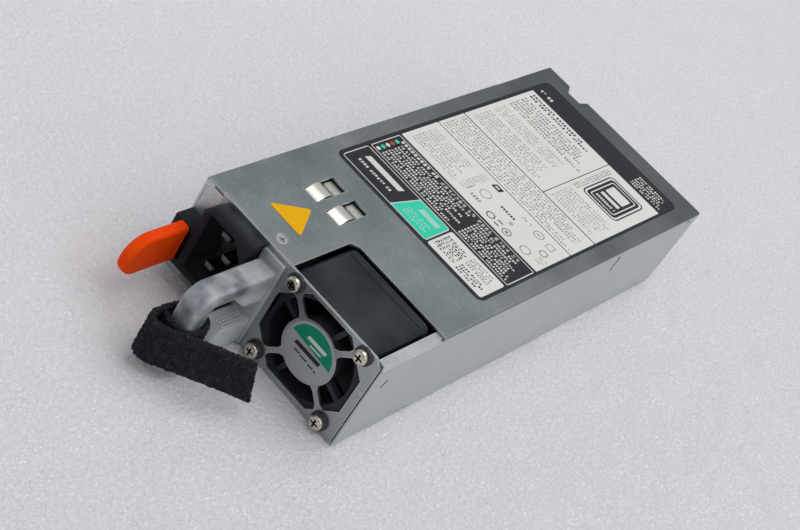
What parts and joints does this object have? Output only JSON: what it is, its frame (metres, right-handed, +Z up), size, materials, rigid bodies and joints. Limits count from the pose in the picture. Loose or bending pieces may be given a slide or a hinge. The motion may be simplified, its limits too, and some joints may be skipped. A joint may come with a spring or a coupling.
{
  "type": "hot swap server power supply",
  "caption": "Slim plug-in server power supply: mains inlet, fan grille, pull handle, release latch, retaining strap and an edge tongue at the rear.",
  "frame": {"origin": "middle of the case's underside, half way along the sheet-metal case and half way across it", "axes": "+Z up through the cover, +Y along the case from its front to its rear contact tongue, +X towards the fan's side"},
  "size_m": [0.087, 0.2553, 0.0396],
  "materials": {
    "steel_sheet": "zinc-plated steel sheet, fine grain",
    "cover_sheet": "zinc-plated steel sheet, blue-grey",
    "panel_sheet": "zinc-plated steel sheet, cut edges bright",
    "spring_steel": "bright nickel-plated spring strip",
    "screw_steel": "bright zinc-plated screws",
    "black_moulding": "black nylon, slight grain",
    "pin_metal": "nickel-plated pins",
    "clear_handle": "smoky clear moulding",
    "light_guide": "clear lens",
    "tab_plastic": "orange-red moulding",
    "strap_fabric": "black hook-and-loop tape",
    "label_paper": "printed polyester label",
    "notice_yellow": "plain yellow sticker",
    "fan_plastic": "black glass-filled plastic",
    "rotor_plastic": "black plastic",
    "bearing_bronze": "sintered bronze",
    "core_steel": "stacked laminations",
    "copper_wire": "enamelled copper",
    "rubber_black": "soft black rubber",
    "magnet_grey": "bonded ferrite",
    "lead_jacket": "lead insulation",
    "board_green": "green solder mask",
    "contact_gold": "gold-plated contacts",
    "standoff_metal": "plated steel",
    "film_sheet": "white insulating film",
    "capacitor_sleeve": "dark shrink sleeve",
    "box_yellow": "moulded capacitor boxes",
    "ferrite": "sintered ferrite",
    "relay_body": "blue moulded case",
    "heatsink_aluminium": "extruded aluminium",
    "package_black": "moulded epoxy",
    "fuse_glass": "ceramic tube with plated caps"
  },
  "bodies": {
    "chassis": {"chassis_tray": "steel_sheet", "top_cover": "cover_sheet", "front_panel": "panel_sheet", "rear_panel": "steel_sheet", "cover_screw": "screw_steel", "contact_spring_left": "spring_steel", "contact_spring_right": "spring_steel", "fan_screws": "screw_steel", "fan_grommets": "rubber_black", "rating_label": "label_paper", "notice_sticker": "notice_yellow", "fan_label": "label_paper", "fan_frame": "fan_plastic", "fan_bearing": "bearing_bronze", "fan_stator": "core_steel", "fan_windings": "copper_wire", "fan_leads": "lead_jacket", "fan_plug": "film_sheet", "inlet_housing": "black_moulding", "inlet_pins": "pin_metal", "inlet_leads": "lead_jacket", "pull_handle": "clear_handle", "led_board": "board_green", "status_led": "light_guide", "latch_pin": "pin_metal", "latch_clip": "spring_steel", "main_board": "board_green", "edge_contacts": "contact_gold", "board_standoffs": "standoff_metal", "board_screws": "screw_steel", "insulation_sheet": "film_sheet", "film_capacitors": "box_yellow", "inlet_fuse": "fuse_glass", "choke_core": "ferrite", "choke_coils": "copper_wire", "inrush_relay": "relay_body", "boost_core": "ferrite", "boost_coil": "copper_wire", "bulk_capacitors": "capacitor_sleeve", "primary_heatsink": "heatsink_aluminium", "primary_transistors": "package_black", "bridge_rectifier": "package_black", "resonant_choke": "ferrite", "transformer_core": "ferrite", "transformer_coil": "box_yellow", "standby_transformer": "box_yellow", "output_heatsink": "heatsink_aluminium", "output_transistors": "package_black", "output_capacitors": "capacitor_sleeve", "output_busbars": "copper_wire", "control_board": "board_green"},
    "rotor": {"fan_rotor": "rotor_plastic", "fan_magnet": "magnet_grey", "fan_shaft": "pin_metal"},
    "latch": {"latch_lever": "spring_steel", "latch_tab": "tab_plastic", "latch_spring": "spring_steel"},
    "strap": {"cable_strap": "strap_fabric"}
  },
  "joints": [
    {"name": "fan_spin", "type": "hinge", "parent": "chassis", "child": "rotor", "pos_m": [0.0187, -0.08675, 0.0199], "axis": [0, 1, 0], "continuous": true},
    {"name": "latch_release", "type": "hinge", "parent": "chassis", "child": "latch", "pos_m": [-0.0379, -0.05675, 0.0168], "axis": [0, 0, 1], "range_deg": [0, 2.2], "stiffness_Nm_per_rad": 3, "springref_deg": -2.86, "deforming": ["latch_spring"]},
    {"name": "strap_swing", "type": "hinge", "parent": "chassis", "child": "strap", "pos_m": [-0.0081, -0.13135, 0.0135], "axis": [0, 0, 1], "range_deg": [-30, 40]}
  ]
}
